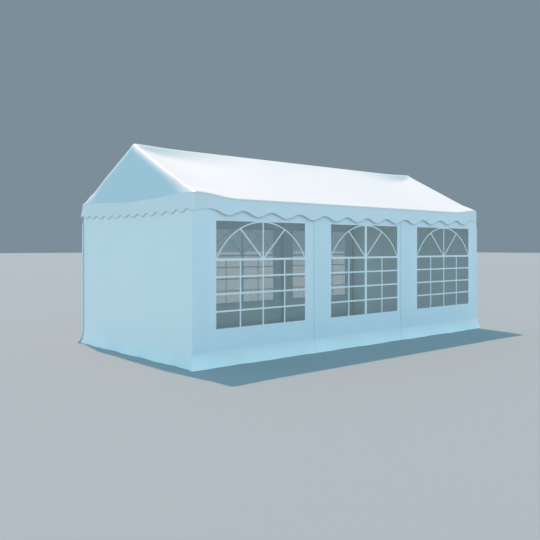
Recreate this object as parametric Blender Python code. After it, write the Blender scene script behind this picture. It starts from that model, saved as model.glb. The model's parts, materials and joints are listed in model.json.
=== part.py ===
"""A frame marquee tent of three bays.

Galvanised tubes and sleeve fittings carry a white roof cover with gables and
scalloped valances. Window panels hang down both long sides and a plain wall
closes each end. Metres, +Z up. The origin is on the ground under the middle
of the tent, +X runs along the ridge and the front long side faces -Y.
"""

import math

import bmesh
import bpy
from mathutils import Matrix, Vector

# Frame of tubes: distances are between tube centres.
BAYS = 3
BAY_LENGTH = 2.0
FRAME_WIDTH = 2.86
EAVE_HEIGHT = 2.03
RIDGE_HEIGHT = 2.79
TUBE_RADIUS = 0.019
TUBE_SIDES = 16

# Fittings: each sleeve reaches this far from the fitting's centre, and the tube
# pushed into it stops short of the centre by the socket's floor. The sleeves
# meet in a hub that stands out past them.
SLEEVE_WALL = 0.002
HUB_SWELL = 0.003
HUB_SEGMENTS = 12
HUB_RINGS = 8
SLEEVE_REACH = 0.11
SOCKET_FLOOR = 0.035

# Foot plates and the holes for their ground pegs.
FOOT_SIZE = 0.12
FOOT_THICKNESS = 0.006
FOOT_WELD_DEPTH = 0.003
PEG_HOLE_RADIUS = 0.007
PEG_HOLE_INSET = 0.018

# Sheets, and the gap between pieces that lie on each other.
SHEET_THICKNESS = 0.003
FILM_THICKNESS = 0.0015
SEAT_GAP = 0.0003

# Roof cover: it sags between the rafters and stands up on the corner posts.
ROOF_SAG = 0.02
CORNER_LIFT = 0.05
LIFT_REACH_ALONG = 0.5
LIFT_REACH_ACROSS = 0.3
POST_CLEARANCE = 0.001
ROOF_CELLS_PER_BAY = 10
ROOF_CELLS_DOWN = 12

# Valances: drops are measured down from the eave rail's centre.
VALANCE_DROP = 0.155
SIDE_SCALLOP_PITCH = 0.467
SIDE_SCALLOP_DEPTH = 0.065
SIDE_SCALLOP_SHIFT = 0.045
SIDE_PLAIN_END = 0.15
END_VALANCE_RISE = 0.02
END_VALANCE_DROP = 0.122
END_SCALLOP_PITCH = 0.233
END_SCALLOP_DEPTH = 0.037
POINTS_PER_SCALLOP = 8

# Walls: the skirt flares out over the foot plates.
HEM_HEIGHT = 0.003
FLARE_HEIGHT = 0.3
FLARE_REACH = 0.08
FLARE_ROWS = 6
ODD_LAP = 0.05
EVEN_LAP = 0.135

# Windows: the drop is from the eave rail's centre to the opening's top, and the
# film laps the opening's edge on the inside of the wall.
WINDOW_WIDTH = 1.49
WINDOW_HEIGHT = 1.31
WINDOW_DROP = 0.265
WINDOW_SHIFT = 0.037
FILM_LAP = 0.02

# Worked out from the sizes above.
HALF_LENGTH = BAYS * BAY_LENGTH / 2
HALF_WIDTH = FRAME_WIDTH / 2
SLEEVE_RADIUS = TUBE_RADIUS + SEAT_GAP + SLEEVE_WALL
PITCH = math.atan2(RIDGE_HEIGHT - EAVE_HEIGHT, HALF_WIDTH)
HUB_RADIUS = SLEEVE_RADIUS + HUB_SWELL
WALL_STANDOFF = HUB_RADIUS + SEAT_GAP
SIDE_WALL_IN = HALF_WIDTH + WALL_STANDOFF
END_WALL_IN = HALF_LENGTH + WALL_STANDOFF
SIDE_VALANCE_IN = SIDE_WALL_IN + SHEET_THICKNESS + SEAT_GAP
END_VALANCE_IN = END_WALL_IN + SHEET_THICKNESS + SEAT_GAP
ROOF_EDGE = SIDE_VALANCE_IN + SHEET_THICKNESS
ROOF_END = END_VALANCE_IN + SHEET_THICKNESS
WINDOW_TOP = EAVE_HEIGHT - WINDOW_DROP
WINDOW_SILL = WINDOW_TOP - WINDOW_HEIGHT
FRONT, BACK = -1, 1
LEFT, RIGHT = -1, 1
SIDE_NAMES = {FRONT: "front", BACK: "back"}
END_NAMES = {LEFT: "left", RIGHT: "right"}


def clear_scene():
    for obj in list(bpy.data.objects):
        bpy.data.objects.remove(obj, do_unlink=True)


def new_collection(name):
    collection = bpy.data.collections.new(name)
    bpy.context.scene.collection.children.link(collection)
    return collection


def material(name, colour, roughness, metallic=0.0, alpha=1.0):
    made = bpy.data.materials.new(name)
    made.use_nodes = True
    shader = made.node_tree.nodes["Principled BSDF"]
    shader.inputs["Base Color"].default_value = (*colour, 1.0)
    shader.inputs["Roughness"].default_value = roughness
    shader.inputs["Metallic"].default_value = metallic
    shader.inputs["Alpha"].default_value = alpha
    made.diffuse_color = (*colour, alpha)
    return made


def mesh_of(name, shape):
    """The mesh of a bmesh with its faces turned outwards and its round sides smooth."""
    bmesh.ops.recalc_face_normals(shape, faces=shape.faces)
    mesh = bpy.data.meshes.new(name)
    shape.to_mesh(mesh)
    shape.free()
    mesh.shade_smooth()
    mesh.set_sharp_from_angle(angle=math.radians(30))
    return mesh


def place(name, mesh, collection, finish=None):
    obj = bpy.data.objects.new(name, mesh)
    collection.objects.link(obj)
    if finish:
        mesh.materials.append(finish)
    return obj


def as_cutter(obj):
    obj.hide_render = True
    obj.display_type = "WIRE"
    return obj


def cylinder(name, start, end, radius, collection, finish=None):
    """A closed cylinder between two points, turned about its middle."""
    start, end = Vector(start), Vector(end)
    shape = bmesh.new()
    bmesh.ops.create_cone(
        shape,
        cap_ends=True,
        segments=TUBE_SIDES,
        radius1=radius,
        radius2=radius,
        depth=(end - start).length,
    )
    obj = place(name, mesh_of(name, shape), collection, finish)
    obj.location = (start + end) / 2
    obj.rotation_euler = (end - start).to_track_quat("Z", "Y").to_euler()
    return obj


def ball(name, centre, radius, collection):
    shape = bmesh.new()
    bmesh.ops.create_uvsphere(shape, u_segments=HUB_SEGMENTS, v_segments=HUB_RINGS, radius=radius)
    obj = place(name, mesh_of(name, shape), collection)
    obj.location = centre
    return obj


def block(name, low, high, collection):
    """A closed box between two corners."""
    low, high = Vector(low), Vector(high)
    shape = bmesh.new()
    bmesh.ops.create_cube(shape, size=1.0, matrix=Matrix.Diagonal((*(high - low), 1.0)))
    obj = place(name, mesh_of(name, shape), collection)
    obj.location = (low + high) / 2
    return obj


def boolean(obj, operation, collection):
    """Joins every object of a collection to this one, or cuts them from it."""
    modifier = obj.modifiers.new(operation.title(), "BOOLEAN")
    modifier.operation = operation
    modifier.operand_type = "COLLECTION"
    modifier.collection = collection
    modifier.solver = "EXACT"


def frame_x(index):
    """Where cross frame 0, 1, 2... stands along the tent."""
    return index * BAY_LENGTH - HALF_LENGTH


def eave_point(index, side):
    return Vector((frame_x(index), side * HALF_WIDTH, EAVE_HEIGHT))


def ridge_point(index):
    return Vector((frame_x(index), 0.0, RIDGE_HEIGHT))


def swell(distance, reach):
    """1 where there is no distance, easing to 0 at the reach."""
    share = min(max(distance / reach, 0.0), 1.0)
    return (1.0 - share * share) ** 2


def roof_underside(x, across):
    """Height of the roof cover's underside, at a distance across from the ridge."""
    held = min(max(x, -HALF_LENGTH), HALF_LENGTH)
    into_bay = (held + HALF_LENGTH) / BAY_LENGTH % 1.0
    sag = ROOF_SAG * 4 * into_bay * (1 - into_bay) * math.sin(math.pi * across / ROOF_EDGE)
    along = swell(HALF_LENGTH - abs(x), LIFT_REACH_ALONG)
    lift = CORNER_LIFT * along * swell(HALF_WIDTH - across, LIFT_REACH_ACROSS)
    on_rafters = RIDGE_HEIGHT + WALL_STANDOFF / math.cos(PITCH) - across * math.tan(PITCH)
    return on_rafters - sag + lift


def roof_rows():
    """Distances across from the ridge at which the roof cover has its rows of points."""
    first = SEAT_GAP / 2
    cell = (HALF_WIDTH - first) / ROOF_CELLS_DOWN
    return [first + cell * row for row in range(ROOF_CELLS_DOWN + 1)] + [ROOF_EDGE]


def roof_columns():
    cells = BAYS * ROOF_CELLS_PER_BAY
    inner = [frame_x(column / ROOF_CELLS_PER_BAY) for column in range(cells + 1)]
    return [-ROOF_END, *inner, ROOF_END]


def flare(height):
    """How far the skirt stands out at a height."""
    return FLARE_REACH * max(0.0, 1.0 - height / FLARE_HEIGHT) ** 2


def panel_edge(index):
    """Where window panels meet beside cross frame 1, 2..."""
    return frame_x(index) - (ODD_LAP if index % 2 else EVEN_LAP)


def window_centre(bay):
    return frame_x(bay + 0.5) + WINDOW_SHIFT


def leg_mesh(tools):
    """One leg, standing on the origin: a tube welded on a foot plate with two peg holes."""
    top = EAVE_HEIGHT - SOCKET_FLOOR - SEAT_GAP
    tube = cylinder("leg_tube", (0, 0, FOOT_WELD_DEPTH), (0, 0, top), TUBE_RADIUS, tools)
    plates = new_collection("foot_plate_tools")
    holes = new_collection("peg_hole_tools")
    half = FOOT_SIZE / 2
    block("foot_plate", (-half, -half, 0), (half, half, FOOT_THICKNESS), plates)
    for number, hole in enumerate((PEG_HOLE_INSET - half, half - PEG_HOLE_INSET)):
        low = (hole, 0, -FOOT_THICKNESS)
        high = (hole, 0, 2 * FOOT_THICKNESS)
        cylinder(f"peg_hole_{number}", low, high, PEG_HOLE_RADIUS, holes)
    boolean(tube, "UNION", plates)
    boolean(tube, "DIFFERENCE", holes)
    for helper in (tube, *plates.objects, *holes.objects):
        as_cutter(helper)
    bpy.context.view_layer.update()
    made = tube.evaluated_get(bpy.context.evaluated_depsgraph_get())
    mesh = bpy.data.meshes.new_from_object(made)
    mesh.transform(tube.matrix_world)
    return mesh


def build_legs(parts, tools, steel):
    mesh = leg_mesh(tools)
    mesh.materials.append(steel)
    for side in (FRONT, BACK):
        for index in range(BAYS + 1):
            leg = place(f"leg_{SIDE_NAMES[side]}_{index + 1}", mesh, parts)
            leg.location = (frame_x(index), side * HALF_WIDTH, 0)


def build_rafters(parts, steel):
    """Rafters run from socket to socket, between an eave fitting and a ridge fitting."""
    for side in (FRONT, BACK):
        for index in range(BAYS + 1):
            low, high = eave_point(index, side), ridge_point(index)
            step = (high - low).normalized() * (SOCKET_FLOOR + SEAT_GAP)
            name = f"rafter_{SIDE_NAMES[side]}_{index + 1}"
            cylinder(name, low + step, high - step, TUBE_RADIUS, parts, steel)


def fitting_on_rail(index, height, across, sleeves):
    """The fitting's hub and its sleeves along the rail, only inwards on an end frame."""
    x = frame_x(index)
    low = x - (SLEEVE_REACH if index > 0 else 0.0)
    high = x + (SLEEVE_REACH if index < BAYS else 0.0)
    name = f"{sleeves.name}_rail_{index}"
    cylinder(name, (low, across, height), (high, across, height), SLEEVE_RADIUS, sleeves)
    ball(f"{sleeves.name}_hub_{index}", (x, across, height), HUB_RADIUS, sleeves)


def socket(label, centre, direction, sleeves, bores, tail=0.0):
    """A sleeve that leaves a fitting in one direction, and the bore for its tube.

    The sleeve's closed end stands out by its tail on the fitting's other side."""
    mouth = centre + direction * SLEEVE_REACH
    closed_end = centre - direction * tail
    floor = centre + direction * SOCKET_FLOOR
    past = mouth + direction * SOCKET_FLOOR
    bore_radius = TUBE_RADIUS + SEAT_GAP
    if direction.z < 0:
        cylinder(f"{label}_sleeve", mouth, closed_end, SLEEVE_RADIUS, sleeves)
        cylinder(f"{label}_bore", past, floor, bore_radius, bores)
    else:
        cylinder(f"{label}_sleeve", closed_end, mouth, SLEEVE_RADIUS, sleeves)
        cylinder(f"{label}_bore", floor, past, bore_radius, bores)


def rail_tube(name, across, height, parts, steel):
    """The rail's tubes in one line, ending inside the end fittings' sleeves."""
    reach = HALF_LENGTH - SOCKET_FLOOR
    return cylinder(name, (-reach, across, height), (reach, across, height), TUBE_RADIUS, parts, steel)


def finish_rail(rail, sleeves, bores):
    boolean(rail, "UNION", sleeves)
    boolean(rail, "DIFFERENCE", bores)
    for helper in (*sleeves.objects, *bores.objects):
        as_cutter(helper)


def build_eave_rail(side, parts, steel):
    """Eave tubes in one line, with a fitting at each leg that takes the leg and the rafter."""
    name = f"eave_rail_{SIDE_NAMES[side]}"
    rail = rail_tube(name, side * HALF_WIDTH, EAVE_HEIGHT, parts, steel)
    sleeves = new_collection(f"{name}_sleeves")
    bores = new_collection(f"{name}_bores")
    for index in range(BAYS + 1):
        centre = eave_point(index, side)
        up_slope = (ridge_point(index) - centre).normalized()
        fitting_on_rail(index, EAVE_HEIGHT, centre.y, sleeves)
        under_roof = roof_underside(centre.x, HALF_WIDTH + SLEEVE_RADIUS)
        post = under_roof - POST_CLEARANCE - EAVE_HEIGHT if index in (0, BAYS) else 0.0
        socket(f"{name}_leg_{index}", centre, Vector((0, 0, -1)), sleeves, bores, tail=post)
        socket(f"{name}_rafter_{index}", centre, up_slope, sleeves, bores)
    finish_rail(rail, sleeves, bores)


def build_ridge_rail(parts, steel):
    """Ridge tubes in one line, with a fitting over each pair of rafters."""
    rail = rail_tube("ridge_rail", 0.0, RIDGE_HEIGHT, parts, steel)
    sleeves = new_collection("ridge_rail_sleeves")
    bores = new_collection("ridge_rail_bores")
    for index in range(BAYS + 1):
        centre = ridge_point(index)
        fitting_on_rail(index, RIDGE_HEIGHT, 0.0, sleeves)
        for side in (FRONT, BACK):
            down_slope = (eave_point(index, side) - centre).normalized()
            socket(f"ridge_{SIDE_NAMES[side]}_{index}", centre, down_slope, sleeves, bores)
    finish_rail(rail, sleeves, bores)


def slab(name, rows, thickness, parts, finish):
    """A sheet: a grid of points, extruded by its thickness as one vector."""
    shape = bmesh.new()
    grid = [[shape.verts.new(point) for point in row] for row in rows]
    for lower, upper in zip(grid, grid[1:]):
        for a, b, c, d in zip(lower, lower[1:], upper[1:], upper):
            shape.faces.new((a, b, c, d))
    grown = bmesh.ops.extrude_face_region(shape, geom=list(shape.faces))["geom"]
    moved = [item for item in grown if isinstance(item, bmesh.types.BMVert)]
    bmesh.ops.translate(shape, verts=moved, vec=thickness)
    return place(name, mesh_of(name, shape), parts, finish)


def build_roof(parts, finish):
    """Each slope is one sheet from the ridge, over the eave rail, to its valance."""
    upwards = Vector((0, 0, SHEET_THICKNESS / math.cos(PITCH)))
    for side in (FRONT, BACK):
        rows = [
            [Vector((x, side * across, roof_underside(x, across))) for x in roof_columns()]
            for across in roof_rows()
        ]
        slab(f"roof_{SIDE_NAMES[side]}", rows, upwards, parts, finish)


def outline(name, points, centre, turn, parts, finish):
    """A flat sheet cut to an outline, stood upright on the plane through its centre."""
    curve = bpy.data.curves.new(name, "CURVE")
    curve.dimensions = "2D"
    curve.fill_mode = "BOTH"
    curve.extrude = SHEET_THICKNESS / 2
    spline = curve.splines.new("POLY")
    spline.points.add(len(points) - 1)
    for point, (along, height) in zip(spline.points, points):
        point.co = (along, height, 0, 1)
    spline.use_cyclic_u = True
    curve.materials.append(finish)
    obj = bpy.data.objects.new(name, curve)
    obj.rotation_euler = (math.radians(90), 0, turn)
    obj.location = centre
    parts.objects.link(obj)


def build_gables(parts, finish):
    """Each gable fills the end of the roof, down to the eave rail's centre."""
    reach = SIDE_WALL_IN - SEAT_GAP
    middle = END_WALL_IN + SHEET_THICKNESS / 2
    under = SEAT_GAP / math.cos(PITCH)
    half = [across for across in roof_rows() if across < reach] + [reach]
    slope = [(across, roof_underside(END_WALL_IN, across) - under) for across in half]
    points = [(-across, height) for across, height in reversed(slope)] + slope
    points += [(reach, EAVE_HEIGHT), (-reach, EAVE_HEIGHT)]
    for end in (LEFT, RIGHT):
        centre = (end * middle, 0, 0)
        outline(f"gable_{END_NAMES[end]}", points, centre, math.radians(90), parts, finish)


def steps(low, high, longest):
    """Evenly spaced values from low to high, no further apart than the longest step."""
    count = max(1, math.ceil((high - low) / longest))
    return [low + (high - low) * step / count for step in range(count + 1)]


def side_valance_bottom(x):
    """Round waves between the outermost arches, and plain from there to the corners."""
    arch = EAVE_HEIGHT - VALANCE_DROP
    arches_each_way = (ROOF_END - SIDE_PLAIN_END) // SIDE_SCALLOP_PITCH
    if abs(x - SIDE_SCALLOP_SHIFT) > arches_each_way * SIDE_SCALLOP_PITCH:
        return arch
    wave = math.cos(2 * math.pi * (x - SIDE_SCALLOP_SHIFT) / SIDE_SCALLOP_PITCH)
    return arch - SIDE_SCALLOP_DEPTH * (1 - wave) / 2


def end_valance_bottom(across):
    """Round lobes that meet in points."""
    lobe = abs(math.cos(math.pi * across / END_SCALLOP_PITCH))
    return EAVE_HEIGHT - END_VALANCE_DROP - END_SCALLOP_DEPTH * lobe


def end_valance_top(across):
    """Level with the rail between the corners, and up to the roof cover at each of them."""
    lift = CORNER_LIFT * swell(HALF_WIDTH - across, LIFT_REACH_ACROSS)
    under_roof = roof_underside(END_VALANCE_IN, across) - SEAT_GAP / math.cos(PITCH)
    return min(EAVE_HEIGHT + END_VALANCE_RISE + lift, under_roof)


def build_valances(parts, finish):
    top = [(x, roof_underside(x, ROOF_EDGE) - SEAT_GAP) for x in roof_columns()]
    spacing = SIDE_SCALLOP_PITCH / POINTS_PER_SCALLOP
    bottom = [(x, side_valance_bottom(x)) for x in steps(-ROOF_END, ROOF_END, spacing)]
    for side in (FRONT, BACK):
        centre = (0, side * (SIDE_VALANCE_IN + SHEET_THICKNESS / 2), 0)
        points = top + bottom[::-1]
        outline(f"valance_{SIDE_NAMES[side]}", points, centre, 0.0, parts, finish)
    reach = SIDE_VALANCE_IN - SEAT_GAP
    spacing = END_SCALLOP_PITCH / POINTS_PER_SCALLOP
    half = [across for across in roof_rows() if across < reach] + [reach]
    top = [(across, end_valance_top(across)) for across in half]
    top = [(-across, height) for across, height in reversed(top)] + top
    bottom = [(across, end_valance_bottom(across)) for across in steps(-reach, reach, spacing)]
    for end in (LEFT, RIGHT):
        centre = (end * (END_VALANCE_IN + SHEET_THICKNESS / 2), 0, 0)
        points = top + bottom[::-1]
        outline(f"valance_{END_NAMES[end]}", points, centre, math.radians(90), parts, finish)


def wall_heights(top):
    skirt = [
        HEM_HEIGHT + (FLARE_HEIGHT - HEM_HEIGHT) * row / FLARE_ROWS for row in range(FLARE_ROWS + 1)
    ]
    return [*skirt, top]


def build_window_panels(side, parts, finish):
    """Panels meet beside the inner legs, and each has one window cut through it."""
    outer_face = SIDE_WALL_IN + SHEET_THICKNESS
    top = EAVE_HEIGHT + WALL_STANDOFF / math.cos(PITCH)
    top -= (outer_face - HALF_WIDTH) * math.tan(PITCH) + SEAT_GAP / math.cos(PITCH)
    outwards = Vector((0, side * SHEET_THICKNESS, 0))
    for bay in range(BAYS):
        rows = []
        for height in wall_heights(top):
            past_end = END_WALL_IN + SHEET_THICKNESS + flare(height)
            left = -past_end if bay == 0 else panel_edge(bay) + SEAT_GAP / 2
            right = past_end if bay == BAYS - 1 else panel_edge(bay + 1) - SEAT_GAP / 2
            y = side * (SIDE_WALL_IN + flare(height))
            rows.append([Vector((left, y, height)), Vector((right, y, height))])
        name = f"wall_{SIDE_NAMES[side]}_{bay + 1}"
        panel = slab(name, rows, outwards, parts, finish)
        centre = window_centre(bay)
        half = WINDOW_WIDTH / 2
        low = (centre - half, side * SIDE_WALL_IN - FLARE_REACH, WINDOW_SILL)
        high = (centre + half, side * SIDE_WALL_IN + FLARE_REACH, WINDOW_TOP)
        opening = new_collection(f"{name}_opening")
        as_cutter(block(f"{name}_window_opening", low, high, opening))
        boolean(panel, "DIFFERENCE", opening)


def build_window_films(side, parts, finish):
    """Clear film welded to the inside of the panel, past the edge of its opening."""
    inner_face = side * (SIDE_WALL_IN - SEAT_GAP)
    outwards = Vector((0, -side * FILM_THICKNESS, 0))
    half = WINDOW_WIDTH / 2 + FILM_LAP
    for bay in range(BAYS):
        centre = window_centre(bay)
        rows = [
            [Vector((centre - half, inner_face, height)), Vector((centre + half, inner_face, height))]
            for height in (WINDOW_SILL - FILM_LAP, WINDOW_TOP + FILM_LAP)
        ]
        slab(f"window_{SIDE_NAMES[side]}_{bay + 1}", rows, outwards, parts, finish)


def build_end_wall(end, parts, finish):
    """One plain sheet between the side walls, up to the gable."""
    outwards = Vector((end * SHEET_THICKNESS, 0, 0))
    rows = []
    for height in wall_heights(EAVE_HEIGHT - SEAT_GAP):
        reach = SIDE_WALL_IN + flare(height) - SEAT_GAP
        x = end * (END_WALL_IN + flare(height))
        rows.append([Vector((x, -reach, height)), Vector((x, reach, height))])
    slab(f"wall_{END_NAMES[end]}", rows, outwards, parts, finish)


clear_scene()
parts = new_collection("marquee_tent")
tools = new_collection("tools")
steel = material("galvanised_steel", (0.52, 0.54, 0.56), 0.45, metallic=0.9)
roof_finish = material("roof_sheet", (0.93, 0.95, 0.97), 0.42)
wall_finish = material("wall_sheet", (0.88, 0.92, 0.95), 0.45)
film_finish = material("window_film", (0.82, 0.88, 0.92), 0.08, alpha=0.3)

build_legs(parts, tools, steel)
build_rafters(parts, steel)
build_ridge_rail(parts, steel)
build_roof(parts, roof_finish)
build_gables(parts, roof_finish)
build_valances(parts, roof_finish)
for side in (FRONT, BACK):
    build_eave_rail(side, parts, steel)
    build_window_panels(side, parts, wall_finish)
    build_window_films(side, parts, film_finish)
for end in (LEFT, RIGHT):
    build_end_wall(end, parts, wall_finish)
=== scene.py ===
"""The looks of a three-bay frame marquee tent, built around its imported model.

Metres, +Z up. The ridge runs along X, the front long side faces -Y, and the end
that the photograph shows faces -X.
"""

import json
import math

import bmesh
import bpy
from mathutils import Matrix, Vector

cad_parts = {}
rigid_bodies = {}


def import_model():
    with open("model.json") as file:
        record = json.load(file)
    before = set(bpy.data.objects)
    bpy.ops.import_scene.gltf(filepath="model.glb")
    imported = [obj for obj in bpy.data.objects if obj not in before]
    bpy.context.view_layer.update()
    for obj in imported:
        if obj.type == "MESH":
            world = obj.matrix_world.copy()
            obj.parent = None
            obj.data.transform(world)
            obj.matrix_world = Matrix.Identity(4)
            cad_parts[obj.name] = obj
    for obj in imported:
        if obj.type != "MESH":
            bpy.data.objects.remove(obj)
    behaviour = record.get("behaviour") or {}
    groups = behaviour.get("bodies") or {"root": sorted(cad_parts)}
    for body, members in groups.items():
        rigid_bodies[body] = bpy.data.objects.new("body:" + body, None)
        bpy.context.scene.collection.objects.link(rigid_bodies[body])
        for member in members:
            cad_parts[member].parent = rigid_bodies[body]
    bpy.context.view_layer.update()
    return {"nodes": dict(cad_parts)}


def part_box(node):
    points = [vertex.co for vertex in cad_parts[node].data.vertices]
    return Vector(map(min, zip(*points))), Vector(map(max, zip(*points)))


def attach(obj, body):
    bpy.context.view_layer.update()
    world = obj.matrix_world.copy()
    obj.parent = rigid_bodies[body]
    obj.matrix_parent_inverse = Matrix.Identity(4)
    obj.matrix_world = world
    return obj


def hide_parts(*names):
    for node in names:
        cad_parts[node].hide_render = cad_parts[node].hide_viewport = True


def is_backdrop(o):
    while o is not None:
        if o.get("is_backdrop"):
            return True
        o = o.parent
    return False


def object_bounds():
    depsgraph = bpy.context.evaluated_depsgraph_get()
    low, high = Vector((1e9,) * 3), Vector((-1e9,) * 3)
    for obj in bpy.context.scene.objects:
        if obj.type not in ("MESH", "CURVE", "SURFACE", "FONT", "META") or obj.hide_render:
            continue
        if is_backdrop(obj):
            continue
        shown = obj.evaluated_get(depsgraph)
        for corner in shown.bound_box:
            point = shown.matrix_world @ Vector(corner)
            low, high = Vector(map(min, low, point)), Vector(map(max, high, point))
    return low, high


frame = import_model()


# Viewpoint
# A standing person's eye off the left front corner. The camera is level, so that
# the legs stay upright in the picture, and its frame is shifted down instead.
EYE = Vector((-7.404, -7.806, 1.446))
HEADING = math.radians(41.19)
FOCAL_SHARE = 1.2106
SENSOR_WIDTH = 36.0
FRAME_SHIFT = -0.0425
SIGHT_REACH = 400.0
QUARTER_TURN = math.radians(90)


def added(name, data):
    """A new object in the scene."""
    new = bpy.data.objects.new(name, data)
    bpy.context.scene.collection.objects.link(new)
    return new


lens = bpy.data.cameras.new("photo_camera")
lens.sensor_width = SENSOR_WIDTH
lens.lens = FOCAL_SHARE * SENSOR_WIDTH
lens.shift_y = FRAME_SHIFT
lens.clip_end = SIGHT_REACH
camera = added("photo_camera", lens)
camera.location = EYE
camera.rotation_euler = (QUARTER_TURN, 0, -HEADING)
bpy.context.scene.camera = camera


# Ground and daylight
# A plain pale floor. The sun is high behind the tent and a little to the right.
# The shaded sides take their pale blue from the sky, which also glows low down off
# the left front corner.
TO_SUN = Vector((0.2, 1.0, 2.08))
SUN_WIDTH = math.radians(1.2)
SUN_STRENGTH = 3.05
SUN_COLOUR = (1.0, 0.65, 0.49)
SKY_LIGHT = (0.42, 0.72, 0.88)
BACKDROP = (0.20, 0.27, 0.32)
TO_GLOW = Vector((-0.75, -0.65, 0.02))
GLOW_WIDTH = math.radians(100)
GLOW_STRENGTH = 0.6
GLOW_COLOUR = (0.62, 0.90, 1.0)
FLOOR_COLOUR = (0.32, 0.36, 0.38, 1.0)
FLOOR_ROUGHNESS = 0.9
FLOOR_REACH = 150.0


class Value:
    """What a node gives out: Python's operators on it add Math nodes."""

    def __init__(self, graph, socket):
        self.graph, self.socket = graph, socket

    def worked(self, operation, *terms):
        """What a Math node makes of the terms."""
        return self.graph.node("ShaderNodeMath", {"operation": operation}, dict(enumerate(terms)))

    def __add__(self, other):
        return self.worked("ADD", self, other)

    def __sub__(self, other):
        return self.worked("SUBTRACT", self, other)

    def __rsub__(self, other):
        return self.worked("SUBTRACT", other, self)

    def __mul__(self, other):
        return self.worked("MULTIPLY", self, other)

    def __neg__(self):
        return self.worked("MULTIPLY", self, -1.0)

    def __abs__(self):
        return self.worked("ABSOLUTE", self)

    def sine(self):
        return self.worked("SINE", self)

    __radd__, __rmul__ = __add__, __mul__


class Graph:
    """A tree of nodes: each is put in with its settings first and its sockets' values after."""

    def __init__(self, tree):
        self.tree = tree

    def node(self, kind, settings=None, inputs=None, output=0):
        made = self.tree.nodes.new(kind)
        for setting, value in (settings or {}).items():
            setattr(made, setting, value)
        for socket, value in (inputs or {}).items():
            self.link(made.inputs[socket], value)
        return Value(self, made.outputs[output])

    def link(self, socket, value):
        if isinstance(value, Value):
            self.tree.links.new(value.socket, socket)
        else:
            socket.default_value = value


class Finish(Graph):
    """A material put together around its Principled shader."""

    def __init__(self, name, **uniform):
        self.material = bpy.data.materials.new(name)
        self.material.use_nodes = True
        super().__init__(self.material.node_tree)
        self.shader = self.tree.nodes["Principled BSDF"]
        for socket, value in uniform.items():
            self.feed(socket.replace("_", " ").title(), value)

    def feed(self, socket, value):
        self.link(self.shader.inputs[socket], value)

    def fed(self, socket):
        """What already feeds one of the shader's sockets."""
        return Value(self, self.shader.inputs[socket].links[0].from_socket)

    def places(self):
        """Places on the finished piece, in metres."""
        return self.node("ShaderNodeTexCoord", output="Object")

    def blend(self, share, first, second):
        """A colour between two others, which are sockets 6 and 7 of a Mix node and come out at 2."""
        return self.node("ShaderNodeMix", {"data_type": "RGBA"}, {0: share, 6: first, 7: second}, 2)

    def within(self, value, low, high):
        """0 below low, 1 above high and smooth between them."""
        inputs = {"Value": value, "From Min": low, "From Max": high}
        return self.node("ShaderNodeMapRange", {"interpolation_type": "SMOOTHSTEP"}, inputs)

    def part(self, vector, axis):
        """One of a vector's three numbers."""
        return self.node("ShaderNodeSeparateXYZ", {}, {0: vector}, "XYZ".index(axis))

    def noise(self, places, scale, detail=3.0):
        return self.node("ShaderNodeTexNoise", {}, {"Vector": places, "Scale": scale, "Detail": detail})

    def bump(self, height, distance, strength=1.0, under=None):
        """Relief that stands up to a distance, on top of other relief or none."""
        inputs = {"Height": height, "Distance": distance, "Strength": strength}
        if under:
            inputs["Normal"] = under
        return self.node("ShaderNodeBump", {}, inputs)


def distant_light(name, towards, width, strength, colour):
    """A light as far off as the sky, in the direction given."""
    light = bpy.data.lights.new(name, "SUN")
    light.energy, light.color, light.angle = strength, colour, width
    added(name, light).rotation_euler = towards.to_track_quat("Z", "Y").to_euler()


distant_light("sun", TO_SUN, SUN_WIDTH, SUN_STRENGTH, SUN_COLOUR)
distant_light("low_sky_glow", TO_GLOW, GLOW_WIDTH, GLOW_STRENGTH, GLOW_COLOUR)

sky = bpy.data.worlds.new("sky")
sky.use_nodes = True
sky_graph = Graph(sky.node_tree)
daylight = sky_graph.node("ShaderNodeBackground", {}, {"Color": (*SKY_LIGHT, 1.0)})
seen = sky_graph.node("ShaderNodeBackground", {}, {"Color": (*BACKDROP, 1.0)})
in_picture = sky_graph.node("ShaderNodeLightPath", output="Is Camera Ray")
shown = sky_graph.node("ShaderNodeMixShader", {}, {"Fac": in_picture, 1: daylight, 2: seen})
sky_graph.link(sky.node_tree.nodes["World Output"].inputs["Surface"], shown)
bpy.context.scene.world = sky
bpy.context.scene.view_settings.view_transform = "Standard"

floor_finish = Finish("pale_floor", base_color=FLOOR_COLOUR, roughness=FLOOR_ROUGHNESS)
floor_shape = bmesh.new()
bmesh.ops.create_grid(floor_shape, x_segments=1, y_segments=1, size=FLOOR_REACH)
floor_mesh = bpy.data.meshes.new("floor")
floor_shape.to_mesh(floor_mesh)
floor_shape.free()
floor_mesh.materials.append(floor_finish.material)
added("floor", floor_mesh)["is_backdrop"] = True


# Steel frame
# Thin-walled tubes, sleeves and welded foot plates, hot-dip galvanised once they
# are welded: dull grey zinc with faint spangles.
ZINC_DARK = (0.36, 0.38, 0.40, 1.0)
ZINC_LIGHT = (0.56, 0.58, 0.60, 1.0)
ZINC_METAL, ZINC_ROUGHNESS = 0.85, 0.34
SPANGLE_SIZE = 0.014
SPANGLE_TONE, SPANGLE_ROUGHNESS, SPANGLE_RELIEF = 0.45, 0.08, 0.3
CLOUDS_PER_METRE, CLOUD_ROUGHNESS = 9.0, 0.12
GRAINS_PER_METRE, ZINC_RELIEF = 220.0, 0.0002

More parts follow.
